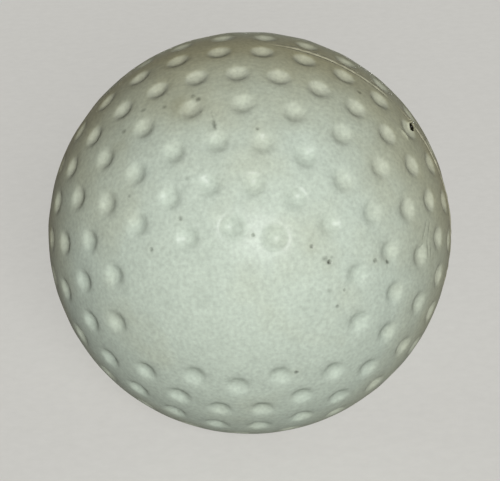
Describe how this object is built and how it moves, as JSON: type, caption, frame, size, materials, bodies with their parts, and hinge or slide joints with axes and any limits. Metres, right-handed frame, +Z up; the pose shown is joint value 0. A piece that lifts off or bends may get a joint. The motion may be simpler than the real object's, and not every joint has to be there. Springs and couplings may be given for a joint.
{
  "type": "field hockey ball",
  "caption": "Field hockey ball with a dimpled moulded cover, a raised seam and a smooth panel, over a core of wound twine, cork strips and a cork and rubber nucleus.",
  "frame": {"origin": "centre of the ball", "axes": "Y along the axis of the moulds, with the smooth panel of the front cup facing -Y; X along the panel's long side; +Z up; the seam lies in the XZ plane"},
  "size_m": [0.0734, 0.073, 0.0734],
  "materials": {
    "cover": "satin, moulded polyurethane, lightly worn",
    "weld": "satin, trimmed flash",
    "skin": "matt, dipped coat",
    "twine": "wound worsted twine",
    "cork": "cut cork",
    "nucleus": "moulded cork and rubber mix"
  },
  "bodies": {
    "root": {"nucleus": "nucleus", "cork_wrap_1": "cork", "twine_winding_1": "twine", "cork_wrap_2": "cork", "twine_winding_2": "twine", "cork_wrap_3": "cork", "twine_winding_3": "twine", "bonding_skin": "skin", "front_cover": "cover", "rear_cover": "cover", "seam_weld": "weld"}
  },
  "joints": []
}
